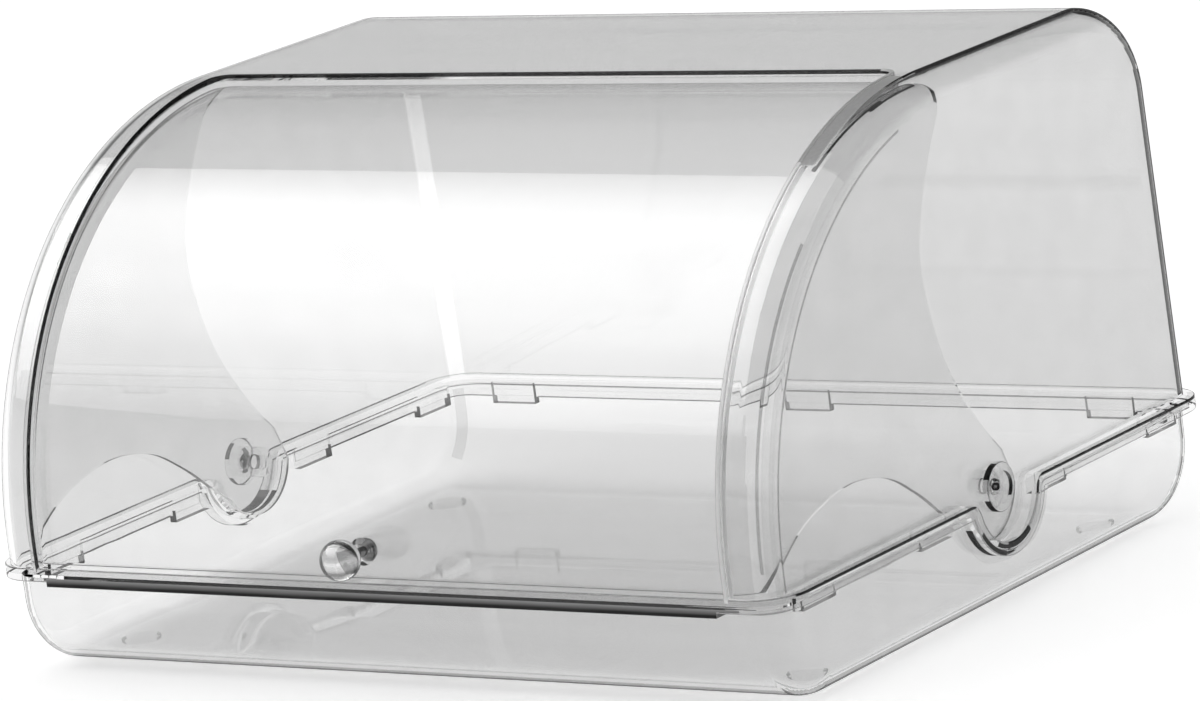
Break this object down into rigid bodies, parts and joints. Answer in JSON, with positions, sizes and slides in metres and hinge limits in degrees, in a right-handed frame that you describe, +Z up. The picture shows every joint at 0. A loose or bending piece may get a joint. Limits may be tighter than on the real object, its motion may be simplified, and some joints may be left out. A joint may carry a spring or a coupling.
{
  "type": "countertop bread display bin",
  "caption": "Clear counter bin for bread: a shallow tray, a domed hood that lifts off, and a curved front door that swings up inside the hood by a ball knob.",
  "frame": {"origin": "centre of the bounding box at the height of the feet's lower faces", "axes": "+X to the bin's right as seen from its door, +Y from the door to the rear wall, +Z up"},
  "size_m": [0.38, 0.3317, 0.2124],
  "materials": {
    "clear_shell": "clear moulded plastic, glossy on both faces",
    "clear_door": "clear moulded plastic, glossy on both faces",
    "clear_fitting": "clear moulded plastic, polished",
    "clear_pad": "soft translucent pad, matt",
    "zinc_steel": "zinc plated"
  },
  "bodies": {
    "tray": {"base_tray": "clear_shell", "foot_front_left": "clear_pad", "foot_front_right": "clear_pad", "foot_rear_left": "clear_pad", "foot_rear_right": "clear_pad"},
    "hood": {"hood": "clear_shell", "pivot_pin_left": "clear_fitting", "pivot_pin_right": "clear_fitting", "pivot_collar_left": "clear_fitting", "pivot_collar_right": "clear_fitting", "pivot_spacer_left": "clear_fitting", "pivot_spacer_right": "clear_fitting", "pivot_retainer_left": "clear_fitting", "pivot_retainer_right": "clear_fitting"},
    "door": {"door": "clear_door", "knob": "clear_fitting", "knob_screw": "zinc_steel", "knob_washer": "zinc_steel"}
  },
  "joints": [
    {"name": "hood_lift", "type": "slide", "parent": "tray", "child": "hood", "axis": [0, 0, 1], "range_m": [0, 0.03]},
    {"name": "door_hinge", "type": "hinge", "parent": "hood", "child": "door", "pos_m": [0, 0.01046, 0.0482], "axis": [-1, 0, 0], "range_deg": [0, 64]}
  ]
}
